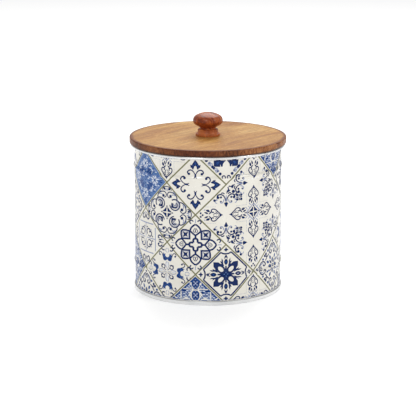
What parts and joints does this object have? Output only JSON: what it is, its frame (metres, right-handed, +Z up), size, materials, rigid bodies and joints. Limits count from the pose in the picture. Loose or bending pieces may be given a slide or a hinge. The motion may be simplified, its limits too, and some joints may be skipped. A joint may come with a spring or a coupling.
{
  "type": "storage tin",
  "caption": "Round tinplate storage tin with an all-over tile-pattern print, rolled rim and seamed base, closed by a lift-off wooden lid with a turned knob.",
  "frame": {"origin": "centre of the base, on the surface that the tin stands on", "axes": "+Z up along the tin's axis, +Y towards the lock seam at the back"},
  "size_m": [0.14, 0.14, 0.1598],
  "materials": {
    "printed_tinplate": "gloss",
    "bare_tinplate": "satin",
    "board_wood": "satin",
    "plug_wood": "satin",
    "silicone": "satin",
    "knob_wood": "gloss",
    "steel": "satin"
  },
  "bodies": {
    "tin": {"body_shell": "printed_tinplate", "base_plate": "bare_tinplate"},
    "lid": {"lid_board": "board_wood", "lid_plug": "plug_wood", "seal_ring": "silicone", "knob": "knob_wood", "knob_washer": "steel", "knob_screw": "steel"}
  },
  "joints": [
    {"name": "lid_lift", "type": "slide", "parent": "tin", "child": "lid", "axis": [0, 0, 1], "range_m": [0, 0.08]}
  ]
}
